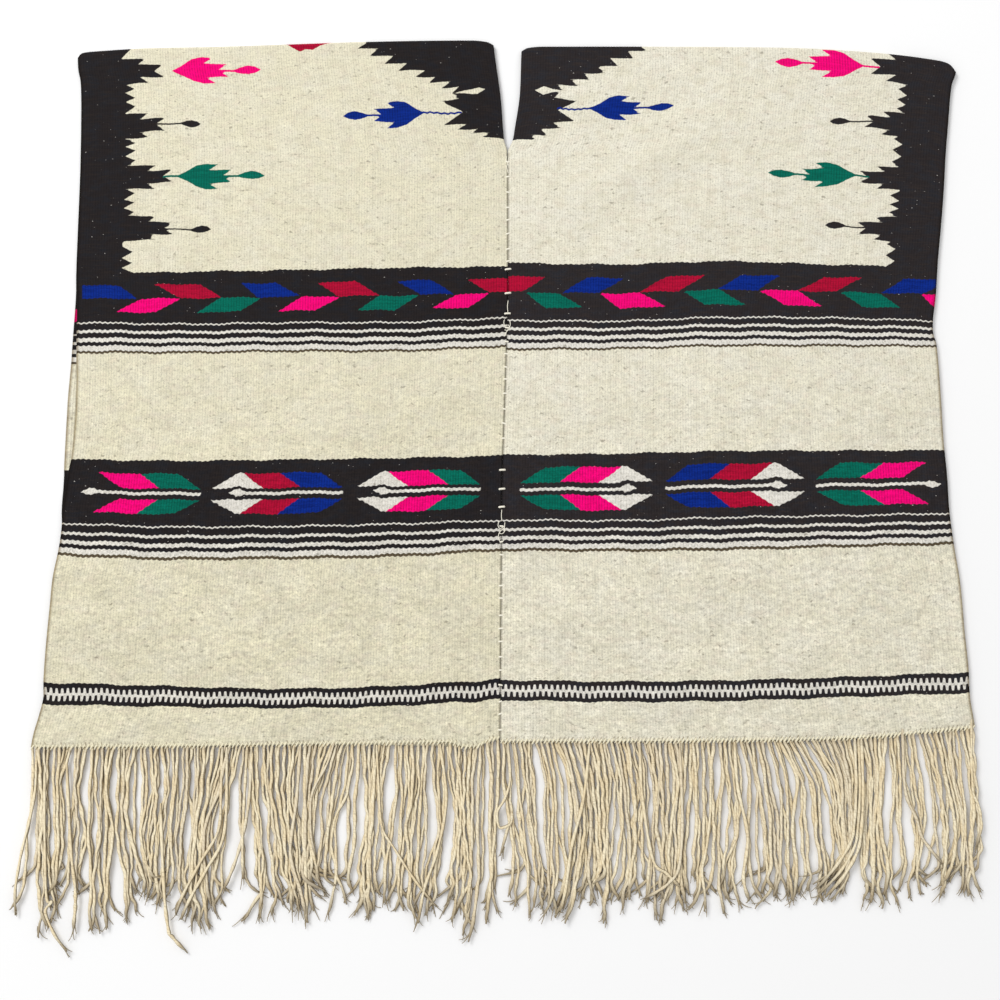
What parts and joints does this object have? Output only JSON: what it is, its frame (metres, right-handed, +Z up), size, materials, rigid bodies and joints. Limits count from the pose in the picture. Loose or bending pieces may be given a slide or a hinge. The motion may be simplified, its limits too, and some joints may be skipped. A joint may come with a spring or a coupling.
{
  "type": "mexican serape poncho laid flat",
  "caption": "Woven wool serape poncho laid flat: seamed loom widths folded at the shoulder, open neck slit, fringed hems.",
  "frame": {"origin": "on the floor under the middle of the part's bounding box, fringe included", "axes": "+X across the garment to the right as seen from its front, +Y towards the shoulder fold, +Z up out of the front layer"},
  "size_m": [1.3154, 1.3228, 0.0085],
  "materials": {
    "wool_cloth": "matte weft-faced wool, heathered cream with black, pink, red, blue and green motifs",
    "warp_yarn": "matte twisted two-ply yarn, tan"
  },
  "bodies": {
    "root": {"left_panel": "wool_cloth", "right_panel": "wool_cloth", "left_front_fringe": "warp_yarn", "right_front_fringe": "warp_yarn", "left_back_fringe": "warp_yarn", "right_back_fringe": "warp_yarn"}
  },
  "joints": []
}
